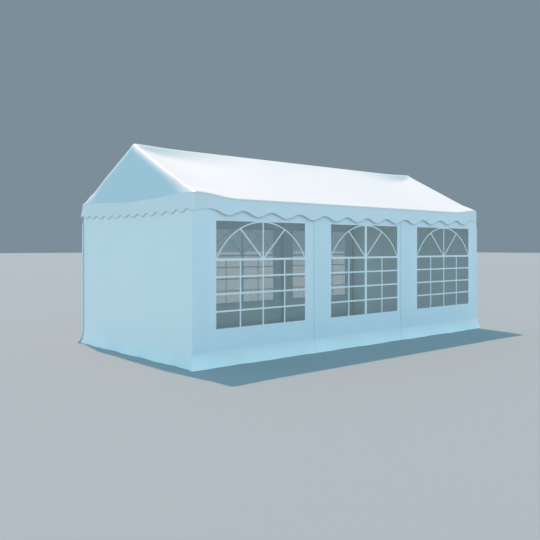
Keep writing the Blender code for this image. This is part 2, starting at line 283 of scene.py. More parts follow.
zinc = Finish("galvanised_steel", metallic=ZINC_METAL)
on_tube = zinc.places()
spangle = zinc.node("ShaderNodeTexVoronoi", {}, {"Vector": on_tube, "Scale": 1 / SPANGLE_SIZE}, "Color")
spangle = zinc.node("ShaderNodeSeparateColor", {}, {0: spangle})
cloud = zinc.noise(on_tube, CLOUDS_PER_METRE)
grain = zinc.noise(on_tube, GRAINS_PER_METRE)
tone = spangle * SPANGLE_TONE + cloud * (1 - SPANGLE_TONE)
zinc.feed("Base Color", zinc.blend(tone, ZINC_DARK, ZINC_LIGHT))
zinc.feed("Roughness", ZINC_ROUGHNESS + spangle * SPANGLE_ROUGHNESS + cloud * CLOUD_ROUGHNESS)
zinc.feed("Normal", zinc.bump(spangle * SPANGLE_RELIEF + grain * (1 - SPANGLE_RELIEF), ZINC_RELIEF))

for name, node in frame["nodes"].items():
    if name.startswith(("leg_", "rafter_", "eave_", "ridge_")):
        node.data.materials.clear()
        node.data.materials.append(zinc.material)


# Sleeve screws
# A hex screw with its washer holds every tube in its sleeve. All heads are on the
# inside, so that nothing rubs on the cloth.
FRAME_COUNT = 4
HALF_LENGTH = sum(corner.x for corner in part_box("leg_back_4")) / 2
HALF_WIDTH = sum(corner.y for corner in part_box("leg_back_4")) / 2
BAY_LENGTH = HALF_LENGTH - sum(corner.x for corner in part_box("leg_back_3")) / 2
EAVE_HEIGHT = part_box("gable_left")[0].z
RIDGE_RISE = 0.76
TILT = math.atan(RIDGE_RISE / HALF_WIDTH)
SLEEVE_RADIUS = 0.0213
SCREW_REACH = 0.088
HEAD_SIDES, HEAD_RADIUS, HEAD_HEIGHT = 6, 0.0058, 0.0042
WASHER_SIDES, WASHER_RADIUS, WASHER_HEIGHT = 20, 0.0085, 0.0014
WASHER_BEDDING = 0.0005
METAL_CREASE = math.radians(35)


class Maker(Graph):
    """A Geometry Nodes tree with named inputs, run once for each piece made by it."""

    KINDS = {float: "NodeSocketFloat", tuple: "NodeSocketVector"}

    def __init__(self, name, **inputs):
        super().__init__(bpy.data.node_groups.new(name, "GeometryNodeTree"))
        sockets, self.defaults = self.tree.interface, inputs
        sockets.new_socket("Geometry", in_out="OUTPUT", socket_type="NodeSocketGeometry")
        sockets.new_socket("Path", in_out="INPUT", socket_type="NodeSocketGeometry")
        self.ids = {"Finish": sockets.new_socket("Finish", socket_type="NodeSocketMaterial").identifier}
        for label, default in inputs.items():
            self.ids[label] = sockets.new_socket(label, socket_type=self.KINDS[type(default)]).identifier
        self.entry = self.tree.nodes.new("NodeGroupInput")
        self.shape = self.value("Path")

    def value(self, label):
        """One of the tree's inputs."""
        return Value(self, self.entry.outputs[label])

    def vector(self, x, y, z):
        return self.node("ShaderNodeCombineXYZ", {}, {0: x, 1: y, 2: z})

    def together(self, shapes):
        """All the shapes as one, in their order: the node lists its links from the last one back."""
        merged = self.node("GeometryNodeJoinGeometry")
        for shape in reversed(shapes):
            self.link(merged.socket.node.inputs[0], shape)
        return merged

    def end(self, shape):
        """Gives out the shape as real faces, in the finish of the piece."""
        shape = self.node("GeometryNodeRealizeInstances", {}, {"Geometry": shape})
        coated = {"Geometry": shape, "Material": self.value("Finish")}
        shape = self.node("GeometryNodeSetMaterial", {}, coated)
        self.link(self.tree.nodes.new("NodeGroupOutput").inputs[0], shape)

    def make(self, name, path, finish, **values):
        """A piece of what the tree makes along a path's mesh, or of itself where the path is None."""
        piece = added(name, path or bpy.data.meshes.new(name))
        maker = piece.modifiers.new(name, "NODES")
        maker.node_group = self.tree
        maker[self.ids["Finish"]] = finish
        for label, value in {**self.defaults, **values}.items():
            maker[self.ids[label]] = value
        plain_mesh(piece)
        piece.data.set_sharp_from_angle(angle=METAL_CREASE)
        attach(piece, "root")
        return piece


def plain_mesh(piece):
    """Turns what a piece's modifiers make of it into its own plain mesh."""
    bpy.context.view_layer.update()
    evaluated = piece.evaluated_get(bpy.context.evaluated_depsgraph_get())
    mesh = bpy.data.meshes.new_from_object(evaluated)
    piece.modifiers.clear()
    piece.data = mesh


def points_mesh(name, points, edges=(), directions=None):
    """A mesh of bare points, joined by edges or each given a direction."""
    mesh = bpy.data.meshes.new(name)
    mesh.from_pydata(points, edges, [])
    if directions:
        facing = mesh.attributes.new("facing", "FLOAT_VECTOR", "POINT")
        facing.data.foreach_set("vector", [number for way in directions for number in way])
    return mesh


def screw_places():
    """Each screw's place on its sleeve and the way that its head faces."""
    for index in range(FRAME_COUNT):
        x = index * BAY_LENGTH - HALF_LENGTH
        along = [way for way in (-1, 1) if abs(x + way * BAY_LENGTH) <= HALF_LENGTH + SLEEVE_RADIUS]
        ridge = Vector((x, 0, EAVE_HEIGHT + RIDGE_RISE))
        for side in (-1, 1):
            eave = Vector((x, side * HALF_WIDTH, EAVE_HEIGHT))
            inward = Vector((0, -side, 0))
            slope = (ridge - eave).normalized()
            under = Vector((0, -side * math.sin(TILT), -math.cos(TILT)))
            yield eave - Vector((0, 0, SCREW_REACH)), inward
            yield eave + slope * SCREW_REACH, under
            yield ridge - slope * SCREW_REACH, under
            for way in along:
                yield eave + Vector((way * SCREW_REACH, 0, 0)), inward
        for way in along:
            yield ridge + Vector((way * SCREW_REACH, 0, 0)), Vector((0, 0, -1))


screws = Maker("sleeve_screws", Head=HEAD_RADIUS, Washer=WASHER_RADIUS)
discs = {"Head": (HEAD_SIDES, HEAD_HEIGHT + WASHER_HEIGHT), "Washer": (WASHER_SIDES, WASHER_HEIGHT)}
parts = []
for label, (sides, height) in discs.items():
    disc = {"Vertices": sides, "Radius": screws.value(label), "Depth": height}
    solid = screws.node("GeometryNodeMeshCylinder", {}, disc)
    lifted = {"Geometry": solid, "Translation": (0.0, 0.0, height / 2)}
    parts.append(screws.node("GeometryNodeTransform", {}, lifted))
facing = screws.node("GeometryNodeInputNamedAttribute", {"data_type": "FLOAT_VECTOR"}, {"Name": "facing"})
turn = screws.node("FunctionNodeAlignRotationToVector", {"axis": "Z"}, {"Vector": facing})
placing = {"Points": screws.shape, "Instance": screws.together(parts), "Rotation": turn}
screws.end(screws.node("GeometryNodeInstanceOnPoints", {}, placing))
seat = SLEEVE_RADIUS - WASHER_BEDDING
places, facings = zip(*[(place + way * seat, way) for place, way in screw_places()])
screw_points = points_mesh("screw_points", places, directions=facings)
sleeve_screws = screws.make("sleeve_screws", screw_points, zinc.material)


# Roof cover
# One coated sheet over the rafters and the ridge tube, sewn to a gable at each
# end. It rounds over the end rafters into the gables and stands up over the corner
# posts, and between frames it sags beside the ridge, most of all in the end bays.
SHEET = 0.0015
RIDGE_TOP, RIDGE_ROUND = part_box("roof_front")[1].z, 0.022
SLOPE = math.tan(TILT)
EDGE_OVER, END_OVER = 0.003, 0.019
COVER_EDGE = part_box("valance_back")[1].y + EDGE_OVER
COVER_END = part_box("valance_right")[1].x + END_OVER
COVER_CORNER, EDGE_ROUND, EDGE_DROP = 0.02, 0.008, 0.02
# The hollows beside the ridge
END_BAY_SAG, MIDDLE_BAY_SAG, SAG_SKEW = 0.1, 0.03, 0.6
SAG_START, SAG_CLEARANCE = 0.03, 0.022
SAG_NARROWEST, SAG_SPREAD, SAG_WIDEST = 0.03, 0.29, 0.35
# The rise to the corner posts, more at the back left one, to the ridge's ends and to the end rafters
LEFT_LIFT, RIGHT_LIFT, LIFT_ALONG, LIFT_ACROSS = 0.037, 0.025, 0.65, 0.25
BACK_LIFT, BACK_PEAK = 0.041, 1.24
TENT_LIFT, TENT_ALONG, TENT_ACROSS = 0.01, 0.9, 0.09
END_LIFT, END_LIFT_GROWTH, END_LIFT_ALONG = 0.0095, 1.3, 0.5
# The round fold from the crest over each end rafter, and the gable's hem
CREST = 2.98
ROLL_DEPTH, ROLL_EVEN, ROLL_WIDENING = 0.12, 0.75, 1.2
GABLE_HEM_RISE, HEM_WIDTH, HEM_CURVE = 0.022, 1.08, 1.4
# The mesh
GABLE_STEPS, EDGE_STEPS = 26, 5
COLUMN_STOP, END_COLUMN_STEP, MIDDLE_COLUMN_STEP = 2.4, 0.04, 0.1
ROW_STOPS, RIDGE_ROW_STEP, UPPER_ROW_STEP, LOWER_ROW_STEP = (0.13, 1.1), 0.0055, 0.018, 0.055
CLOTH_CREASE = math.radians(40)
ROUNDING = 1e-6


def swell(distance, reach):
    """1 where there is no distance, easing to 0 at the reach."""
    share = min(max(distance / reach, 0.0), 1.0)
    return (1.0 - share * share) ** 2


def steepening(share):
    """0 up to a share of 0, rising steeply at first and level from a share of 1."""
    return 1 - (1 - min(max(share, 0.0), 1.0)) ** 2


def roof_sag(x, across):
    """How far the cover sags under a straight slope: in the end bays the hollow widens from the end."""
    from_end = max(HALF_LENGTH - x - SAG_START, 0.0)
    share = min(from_end / (BAY_LENGTH - SAG_START), 1.0)
    sag = END_BAY_SAG * math.sin(math.pi * share**SAG_SKEW)
    if share == 1.0:
        sag = MIDDLE_BAY_SAG * math.cos(math.pi * x / BAY_LENGTH)
    width = min(SAG_NARROWEST + SAG_SPREAD * from_end, SAG_WIDEST)
    return sag * steepening((across - SAG_CLEARANCE) / width) * (1 - across / COVER_EDGE)


def roof_top(x, across):
    """Height of the cover's upper face at a place on the roof."""
    lift, back_lift = LEFT_LIFT if x < 0 else RIGHT_LIFT, BACK_LIFT if x < 0 < across else 0.0
    x, across = min(abs(x), HALF_LENGTH), abs(across)
    sag = roof_sag(x, across)
    corner = lift * swell(HALF_WIDTH - across, LIFT_ACROSS)
    corner += back_lift * min(across / BACK_PEAK, swell(across - BACK_PEAK, HALF_WIDTH - BACK_PEAK))
    corner *= swell(HALF_LENGTH - x, LIFT_ALONG)
    tent = TENT_LIFT * swell(HALF_LENGTH - x, TENT_ALONG) * swell(across, TENT_ACROSS)
    end = END_LIFT * (1 + END_LIFT_GROWTH * across / COVER_EDGE) * swell(HALF_LENGTH - x, END_LIFT_ALONG)
    rounded = across if across > RIDGE_ROUND else (across * across / RIDGE_ROUND + RIDGE_ROUND) / 2
    return RIDGE_TOP - SLOPE * rounded - sag + corner + tent + end


def gable_hem(end, across):
    """Height of the lower edge of the gable at one end."""
    lift = (LEFT_LIFT if end < 0 else RIGHT_LIFT) * min(abs(across) / HEM_WIDTH, 1.0) ** HEM_CURVE
    return min(EAVE_HEIGHT + GABLE_HEM_RISE + lift, roof_top(end * CREST, across) - EDGE_DROP)


def rounded_corner(x, y, end, edge, radius):
    """A place in plan, drawn in where a square corner would stick out of the round one."""
    over_x, over_y = (abs(x) - end + radius) / radius, (abs(y) - edge + radius) / radius
    if over_x <= 0 or over_y <= 0:
        return x, y
    round_x = over_x * math.sqrt(1 - over_y * over_y / 2)
    round_y = over_y * math.sqrt(1 - over_x * over_x / 2)
    x = math.copysign(end - radius + radius * round_x, x)
    return x, math.copysign(edge - radius + radius * round_y, y)


def roll(down, depth):
    """How far out the cover's round fold has come at a distance down it, from 0 to 1."""
    return math.sqrt(1 - (1 - min(down / depth, 1.0)) ** 2)


def cover_point(x, share, across, fall):
    """A point of the cover: on the roof at share 0 and down the gable at shares up to 1."""
    height, down = roof_top(x, across), 0.0
    if share:
        drop = height - gable_hem(math.copysign(1, x), across)
        down = share * max(drop - fall, 0.0)
        depth = ROLL_DEPTH + ROLL_WIDENING * max(abs(across) - ROLL_EVEN, 0.0) ** 2
        reach = (COVER_END - CREST) * roll(share * drop, depth) / roll(drop, depth)
        x = math.copysign(abs(x) + reach, x)
    x, y = rounded_corner(x, across, COVER_END, COVER_EDGE, COVER_CORNER)
    return Vector((x, y, height - fall - down))


def spaced(*stops, longest):
    """Evenly spaced values through each of the stops in turn."""
    values = [stops[0]]
    for low, high in zip(stops, stops[1:]):
        count = max(1, math.ceil(abs(high - low) / longest - ROUNDING))
        values += [low + (high - low) * step / count for step in range(1, count + 1)]
    return values


def running_length(points):
    """The length along the points up to each of them."""
    total, lengths = 0.0, [0.0]
    for one, two in zip(points, points[1:]):
        total += (two - one).length
        lengths.append(total)
    return lengths


def cloth(name, rows, finish, thickness=SHEET, skip=lambda row, column: False):
    """A sheet from rows of points on its outer face, thickened to its inside.

    Its UV map holds the places on the flat cloth, in metres. Faces that skip picks out stay open.
    """
    shape = bmesh.new()
    places = shape.loops.layers.uv.new("cloth")
    grid = [[shape.verts.new(point) for point in row] for row in rows]
    along = [running_length(row) for row in rows]
    down = [running_length(column) for column in zip(*rows)]
    for i in range(len(rows) - 1):
        for j in range(len(rows[0]) - 1):
            if skip(i, j):
                continue
            corners = ((i, j), (i, j + 1), (i + 1, j + 1), (i + 1, j))
            face = shape.faces.new([grid[a][b] for a, b in corners])
            for loop, (a, b) in zip(face.loops, corners):
                loop[places].uv = (along[a][b], down[b][a])
    bmesh.ops.delete(shape, geom=[v for v in shape.verts if not v.link_faces], context="VERTS")
    bmesh.ops.remove_doubles(shape, verts=shape.verts, dist=ROUNDING)
    mesh = bpy.data.meshes.new(name)
    shape.to_mesh(mesh)
    shape.free()
    mesh.materials.append(finish)
    piece = added(name, mesh)
    wall = piece.modifiers.new("thickness", "SOLIDIFY")
    wall.thickness, wall.offset = thickness, -1.0
    plain_mesh(piece)
    piece.data.shade_smooth()
    piece.data.set_sharp_from_angle(angle=CLOTH_CREASE)
    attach(piece, "root")
    return piece


COATING_SHEEN, COATING_ROUGHNESS = 0.45, 0.42
WEAVE_PITCH, WEAVE_ROUGHNESS = 0.0028, 0.02
WEAVE_RELIEF, WEAVE_STRENGTH = 0.00015, 0.35
STAINS_PER_METRE, STAIN_DETAIL, STAIN_TONE, STAIN_EDGES = 0.9, 4.0, 0.8, (0.3, 0.7)
FLECKS_PER_METRE, FLECK_DETAIL, FLECK_ROUGHNESS = 34.0, 2.0, 0.08
RIPPLES_PER_METRE, RIPPLE_DETAIL, RIPPLE_RELIEF, RIPPLE_STRENGTH = 5.0, 2.0, 0.012, 0.12


def coated_fabric(name, colour, cool):
    """White PVC-coated cloth: a fine woven scrim shows through the coating as relief."""
    finish = Finish(name)
    finish.feed("Specular IOR Level", COATING_SHEEN)
    on_piece = finish.places()
    on_cloth = finish.node("ShaderNodeUVMap", {"uv_map": "cloth"})
    turns = 2 * math.pi / WEAVE_PITCH
    weave = (finish.part(on_cloth, "X") * turns).sine() * (finish.part(on_cloth, "Y") * turns).sine()
    stains = finish.noise(on_piece, STAINS_PER_METRE, STAIN_DETAIL)
    flecks = finish.noise(on_piece, FLECKS_PER_METRE, FLECK_DETAIL)
    tone = finish.within(stains * STAIN_TONE + flecks * (1 - STAIN_TONE), *STAIN_EDGES)
    finish.feed("Base Color", finish.blend(tone, (*cool, 1.0), (*colour, 1.0)))
    finish.feed("Roughness", COATING_ROUGHNESS + flecks * FLECK_ROUGHNESS + weave * WEAVE_ROUGHNESS)
    ripples = finish.noise(on_piece, RIPPLES_PER_METRE, RIPPLE_DETAIL)
    ripples = finish.bump(ripples, RIPPLE_RELIEF, RIPPLE_STRENGTH)
    finish.feed("Normal", finish.bump(weave, WEAVE_RELIEF, WEAVE_STRENGTH, under=ripples))
    return finish


# Painted light: the roof's white is tinted warm against the sky's blue light, a lit copy of the same white
# cloth that is tinted cool where it stands in shade.
ROOF_WHITE_PAINTED_LIT, ROOF_COOL_PAINTED_LIT = (0.89, 0.825, 0.805), (0.87, 0.81, 0.795)
# Painted shade: the gables are painted a pale blue shade, which fades in across the round fold over each end
# rafter and dims its highlight.
GABLE_PAINTED_SHADE = (0.66, 0.78, 0.84, 1.0)
PAINTED_SHADE_START, PAINTED_SHADE_FULL = 0.03, 0.0002
roof_finish = coated_fabric("roof_fabric", ROOF_WHITE_PAINTED_LIT, ROOF_COOL_PAINTED_LIT)
lengthwise = abs(roof_finish.part(roof_finish.places(), "X"))
painted_gable_shade = roof_finish.within(lengthwise, COVER_END - PAINTED_SHADE_START, COVER_END - PAINTED_SHADE_FULL)
roof_finish.feed("Base Color", roof_finish.blend(painted_gable_shade, roof_finish.fed("Base Color"), GABLE_PAINTED_SHADE))

gable_shares = [(step / GABLE_STEPS) ** 2 for step in range(GABLE_STEPS, 0, -1)]
end_bay = spaced(HALF_LENGTH - BAY_LENGTH, COLUMN_STOP, CREST, longest=END_COLUMN_STEP)
middle_bay = spaced(-end_bay[0], end_bay[0], longest=MIDDLE_COLUMN_STEP)
roof_columns = [-x for x in reversed(end_bay)] + middle_bay[1:-1] + end_bay
columns = [(-CREST, share) for share in gable_shares]
columns += [(x, 0.0) for x in roof_columns]
columns += [(CREST, share) for share in reversed(gable_shares)]
row_places = spaced(0.0, RIDGE_ROUND, longest=RIDGE_ROW_STEP)
row_places += spaced(RIDGE_ROUND, ROW_STOPS[0], longest=UPPER_ROW_STEP)[1:]
row_places += spaced(*ROW_STOPS, COVER_EDGE - EDGE_ROUND, longest=LOWER_ROW_STEP)[1:]
half_rows = [(across, 0.0) for across in row_places]
for step in range(1, EDGE_STEPS + 1):
    turn = QUARTER_TURN * step / EDGE_STEPS
    half_rows.append((COVER_EDGE - EDGE_ROUND * (1 - math.sin(turn)), EDGE_ROUND * (1 - math.cos(turn))))
half_rows.append((COVER_EDGE, EDGE_DROP))
cover_rows = [(-across, fall) for across, fall in reversed(half_rows)] + half_rows[1:]
roof_rows = [[cover_point(x, share, across, fall) for x, share in columns] for across, fall in cover_rows]
roof_cover = cloth("roof_cover", roof_rows, roof_finish.material)
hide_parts("roof_front", "roof_back", "gable_left", "gable_right")


# Valance
# A skirt of the roof's cloth sewn under the cover's hem all round. The long sides
# are cut in round waves and the ends in small lobes, each edge is bound in tape,
# and along the sides the skirt stands off the walls.
VALANCE_WIDTH, VALANCE_MEAN_WIDTH, VALANCE_THICKNESS = 0.25, 0.2, 0.0012
# The long sides' waves: where their arches stand, and how deep the cloth hangs there and between them
WAVE_ARCHES = (-2.783, -2.302, -1.835, -1.332, -0.858, -0.396, 0.035, 0.484, 0.95, 1.408, 1.887, 2.365, 2.821)
ARCH_DROP, ARCH_RISE = 0.158, 0.0045
WAVE_DEPTH, LAST_DEPTH = 0.066, 0.03
# The ends' lobes
LOBE_DROP, LOBE_RISE = 0.14, 0.0135
LOBE_PITCH, LOBE_DEPTH, LOBE_SHIFT = 0.2325, 0.048, 0.06
# Its seam under the cover's hem, and how far its edge stands off along the sides and at the corners
TUCK, TUCK_RISE = 0.0022, 0.008
SIDE_STANDOFF, END_STANDOFF, BACK_STANDOFF = 0.024, 0.0005, 0.06
TIGHT_LENGTH, CLOSE_LENGTH = 0.14, 0.3
HANG_CURVE = 1.4
# The mesh
WAVE_STEP, LOBE_STEP, DOWN_STEP = 0.026, 0.0125, 0.1
CORNER_STEPS = 8
# The tape, painted grey as shade along the valance's edge
TAPE_SIDES, TAPE_WIDTH, TAPE_THICKNESS = 8, 0.009, 0.0028
BINDING_DARK_PAINTED_SHADE, BINDING_LIGHT_PAINTED_SHADE = (0.67, 0.71, 0.73, 1.0), (0.74, 0.77, 0.78, 1.0)
BINDING_ROUGHNESS, BINDING_RELIEF = 0.6, 0.0002
SCUFFS_PER_METRE, THREADS_PER_METRE = 30.0, 400.0


def wave_bottom(x):
    """Edge of a long side's valance: a trough between each two arches, and half of one at the ends."""
    arches = (-COVER_END, *WAVE_ARCHES, COVER_END)
    after = min(sum(arch <= x for arch in arches), len(arches) - 1)
    share = (x - arches[after - 1]) / (arches[after] - arches[after - 1])
    depth = WAVE_DEPTH * (1 - math.cos(2 * math.pi * share)) / 2
    if after == 1 or after == len(arches) - 1:
        share = share if after > 1 else 1 - share
        depth = LAST_DEPTH * (1 - math.cos(math.pi * share)) / 2
    return EAVE_HEIGHT - ARCH_DROP + ARCH_RISE * x * x - depth


def lobe_bottom(end, y):
    """Edge of an end's valance: lobes that are half round and half pointed."""
    turn = (y - end * LOBE_SHIFT) / LOBE_PITCH % 1.0
    lobe = abs(math.cos(math.pi * turn)) + abs(1 - 2 * turn)
    return EAVE_HEIGHT - LOBE_DROP + LOBE_RISE * y * y - LOBE_DEPTH * lobe / 2


def side_run(side):
    """A long side's valance from its left to its right: place, way out, top, bottom, stand-off."""
    reach, edge = COVER_END - COVER_CORNER, COVER_EDGE - TUCK
    for x in spaced(-reach, reach, longest=WAVE_STEP)[::-side]:
        close = swell(COVER_END - abs(x) - TIGHT_LENGTH, CLOSE_LENGTH)
        at_corner = END_STANDOFF if side < 0 else BACK_STANDOFF
        standoff = SIDE_STANDOFF + (at_corner - SIDE_STANDOFF) * close
        shape = (roof_top(x, COVER_EDGE) - EDGE_DROP, wave_bottom(x), standoff)
        yield Vector((x, side * edge, 0)), Vector((0, side, 0)), shape


def end_run(end):
    """The same along an end's valance."""
    reach, edge = COVER_EDGE - COVER_CORNER, COVER_END - TUCK
    for y in spaced(-reach, reach, longest=LOBE_STEP)[::end]:
        shape = (gable_hem(end, y), lobe_bottom(end, y), END_STANDOFF)
        yield Vector((end * edge, y, 0)), Vector((end, 0, 0)), shape


def valance_ring():
    """The four runs one after another, with a round corner after each, back to the start."""
    runs = [list(run) for run in (side_run(-1), end_run(1), side_run(1), end_run(-1))]
    ring, radius = [], COVER_CORNER - TUCK
    for run, following in zip(runs, runs[1:] + runs[:1]):
        ring += run
        place, out, shape = run[-1]
        centre, first = place - out * radius, math.atan2(out.y, out.x)
        for step in range(1, CORNER_STEPS):
            share = step / CORNER_STEPS
            angle = first + QUARTER_TURN * share
            out = Vector((math.cos(angle), math.sin(angle), 0))
            blended = [one + (two - one) * share for one, two in zip(shape, following[0][2])]
            ring.append((centre + out * radius, out, blended))
    return ring + ring[:1]


def valance_point(place, out, shape, share):
    """A point of the valance at a share of the way down it, further out the lower it is."""
    top, bottom, standoff = shape
    point = place + out * standoff * share**HANG_CURVE
    point.z = top + TUCK_RISE + (bottom - top - TUCK_RISE) * share
    return point


# Painted shade: the valance's white is a cool copy of the roof's white cloth, tinted as if in the sky's blue
# shade.
VALANCE_WHITE_PAINTED_SHADE, VALANCE_COOL_PAINTED_SHADE = (0.87, 0.90, 0.91), (0.85, 0.88, 0.90)
valance_finish = coated_fabric("valance_fabric", VALANCE_WHITE_PAINTED_SHADE, VALANCE_COOL_PAINTED_SHADE)
ring = valance_ring()
down_shares = spaced(1.0, 0.0, longest=DOWN_STEP)
valance_rows = [[valance_point(*stop, share) for stop in ring] for share in down_shares]
valance = cloth("valance", valance_rows, valance_finish.material, VALANCE_THICKNESS)
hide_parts("valance_front", "valance_back", "valance_left", "valance_right")

binding = Maker("edge_binding", Width=TAPE_WIDTH, Thickness=TAPE_THICKNESS)
edge = binding.node("GeometryNodeMeshToCurve", {}, {"Mesh": binding.shape})
edge = binding.node("GeometryNodeSetCurveNormal", {"mode": "Z_UP"}, {"Curve": edge})
round_tape = binding.node("GeometryNodeCurvePrimitiveCircle", {}, {"Resolution": TAPE_SIDES, "Radius": 0.5})
flat_tape = binding.vector(binding.value("Thickness"), binding.value("Width"), 1.0)
profile = binding.node("GeometryNodeTransform", {}, {"Geometry": round_tape, "Scale": flat_tape})
tape = binding.node("GeometryNodeCurveToMesh", {}, {"Curve": edge, "Profile Curve": profile})
binding.end(tape)
edge_points = [valance_point(*stop, 1.0) - stop[1] * VALANCE_THICKNESS / 2 for stop in ring[:-1]]
edges = [(stop, (stop + 1) % len(edge_points)) for stop in range(len(edge_points))]
valance_edge = points_mesh("valance_edge", edge_points, edges)
binding_finish = Finish("binding_tape", roughness=BINDING_ROUGHNESS)
scuffs = binding_finish.noise(binding_finish.places(), SCUFFS_PER_METRE)
threads = binding_finish.noise(binding_finish.places(), THREADS_PER_METRE)
# The tape is real, but its grey is painted shade: it draws the dark line under the valance's edge.
binding_finish.feed("Base Color", binding_finish.blend(scuffs, BINDING_DARK_PAINTED_SHADE, BINDING_LIGHT_PAINTED_SHADE))
binding_finish.feed("Normal", binding_finish.bump(threads, BINDING_RELIEF))
tape_piece = binding.make("valance_binding", valance_edge, binding_finish.material)


# Window walls
# Each bay of a long side is one sheet, cut out for its window. A second layer of
# cloth is welded down its left edge and along its foot, and low down the foot
# flares out over the legs' plates, in slight waves.
SIDES = {"front": -1, "back": 1}
BAYS = (1, 2, 3)
SEAT_GAP, WALL_INSET, HEAD_RISE = 0.0003, 0.004, 0.006
WALL_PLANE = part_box("valance_back")[0].y - SEAT_GAP
WALL_END = COVER_END - WALL_INSET
WALL_TOP = EAVE_HEIGHT + HEAD_RISE
HEM_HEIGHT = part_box("wall_front_1")[0].z
# The foot
FLARE_REACH, FLARE_HEIGHT, FLARE_CURVE = 0.058, 0.2, 2.2
HEM_WAVES = ({"depth": 0.011, "pace": 6.1, "start": 0.7}, {"depth": 0.005, "pace": 17.3, "start": 2.0})
END_LEAN, LEAN_HEIGHT, LEAN_CURVE = 0.042, 0.25, 2.0
CORNER_SPREAD, CORNER_TUCK, SPREAD_LENGTH = 0.2, 0.2, 0.4
# The flap at each end of a side, which starts below the valance
FILM_LAP = 0.02
FLAP_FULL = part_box("window_front_1")[1].z - FILM_LAP
FLAP_REACH, FLAP_TOP = 0.009, 1.85
HEAD_CORNER = COVER_CORNER - WALL_INSET
# The second layer: strips down the edges and skirts between their feet
LAYER, LAYER_PROUD = 0.0012, 0.0018
FREE_EDGE, FREE_EDGE_WIDTH = 0.0035, 0.06
STRIP_WIDTHS, END_STRIP, STRIP_TOP = (0.21, 0.293, 0.263), 0.11, 1.985
SKIRT_HEIGHTS = (0.187, 0.182, 0.170)
# The mesh
FOOT_STEP, STRIP_STEP, PANEL_STEP, WALL_STEP = 0.016, 0.03, 0.055, 0.12


def near_foot(height, reach, curve):
    """1 on the ground, easing to 0 up at the reach."""
    return max(0.0, 1.0 - height / reach) ** curve


def flare(height):
    """How far the foot of a long side stands out."""
    return FLARE_REACH * near_foot(height, FLARE_HEIGHT, FLARE_CURVE)


def hem_wave(along, height):
    """The foot's slight waves, which die out up the wall. Their pace is an angle per metre."""
    slack = sum(wave["depth"] * math.sin(along * wave["pace"] + wave["start"]) for wave in HEM_WAVES)
    return slack * near_foot(height, FLARE_HEIGHT, FLARE_CURVE)


def end_lean(height):
    """How far the foot of an end stands out."""
    return END_LEAN * near_foot(height, LEAN_HEIGHT, LEAN_CURVE)


def below_head(height):
    """0 up at the valance, where the walls' corners are round inside it, and 1 below it."""
    return min(max((FLAP_TOP - height) / (FLAP_TOP - FLAP_FULL), 0.0), 1.0)


def side_point(side, x, height, proud=0.0):
    """A point of a long side's wall. Near the corners its foot spreads along the wall as well."""
    corner = (max(0.0, abs(x) - WALL_END + SPREAD_LENGTH) / SPREAD_LENGTH) ** 2
    out = WALL_PLANE + flare(height) * (1 - CORNER_TUCK * corner) + hem_wave(x, height) + proud
    flap = FLAP_REACH * below_head(height)
    x += math.copysign((flare(height) * CORNER_SPREAD + end_lean(height) + flap) * corner, x)
    return head_corner(x, side * out, height)


def head_corner(x, y, height):
    """A wall's point, drawn in at the head where it would stick out of the valance's round corner."""
    radius = HEAD_CORNER * (1 - below_head(height))
    if radius:
        x, y = rounded_corner(x, y, WALL_END, WALL_PLANE + LAYER_PROUD, radius)
    return Vector((x, y, height))


def wall_cloth(name, side, across, upward, finish, proud=None, thickness=SHEET, opening=None):
    """A sheet over part of a long side, with an opening left in it or none."""
    across = across[::-side]
    window_left, window_right, sill, top = opening or (0.0, 0.0, 0.0, 0.0)

    def is_open(row, column):
        x = (across[column] + across[column + 1]) / 2
        z = (upward[row] + upward[row + 1]) / 2
        return window_left < x < window_right and sill < z < top

    rows = [[side_point(side, x, z, proud(x) if proud else 0.0) for x in across] for z in upward]
    piece = cloth(name, rows, finish.material, thickness, is_open)
    return piece


# Painted shade: the walls' and strips' whites are cool blue copies of the roof's white cloth, tinted as if in
# the sky's blue shade.
WALL_WHITE_PAINTED_SHADE, WALL_COOL_PAINTED_SHADE = (0.88, 0.94, 0.985), (0.865, 0.93, 0.98)
STRIP_WHITE_PAINTED_SHADE, STRIP_COOL_PAINTED_SHADE = (0.85, 0.933, 0.96), (0.835, 0.923, 0.955)
# Painted light: the skirts are a lighter white, painted as sky light on the flared foot.
SKIRT_PAINTED_SKYLIGHT, SKIRT_PAINTED_SKYLIGHT_COOL = (0.955, 0.985, 0.985), (0.94, 0.975, 0.98)
# A weld crosses the strips halfway up, and the skirts' painted sky light also lightens the strips' feet
WELD_HEIGHT, WELD_WIDTH, WELD_RELIEF = 1.29, 0.006, 0.0015
PAINTED_FOOT_LIGHT_TOP, PAINTED_FOOT_LIGHT_FADE = 0.15, 0.04
wall_finish = coated_fabric("wall_fabric", WALL_WHITE_PAINTED_SHADE, WALL_COOL_PAINTED_SHADE)
strip_finish = coated_fabric("doubled_wall_fabric", STRIP_WHITE_PAINTED_SHADE, STRIP_COOL_PAINTED_SHADE)
skirt_painted_light_finish = coated_fabric("skirt_fabric", SKIRT_PAINTED_SKYLIGHT, SKIRT_PAINTED_SKYLIGHT_COOL)
level = strip_finish.part(strip_finish.places(), "Z")
above_painted_foot_light = strip_finish.within(level, PAINTED_FOOT_LIGHT_TOP, PAINTED_FOOT_LIGHT_TOP + PAINTED_FOOT_LIGHT_FADE)
strip_colour_with_painted_light = strip_finish.blend(above_painted_foot_light, (*SKIRT_PAINTED_SKYLIGHT, 1.0), strip_finish.fed("Base Color"))
strip_finish.feed("Base Color", strip_colour_with_painted_light)
weld = strip_finish.within(level, WELD_HEIGHT, WELD_HEIGHT + WELD_WIDTH)
strip_finish.feed("Normal", strip_finish.bump(weld, WELD_RELIEF, under=strip_finish.fed("Normal")))

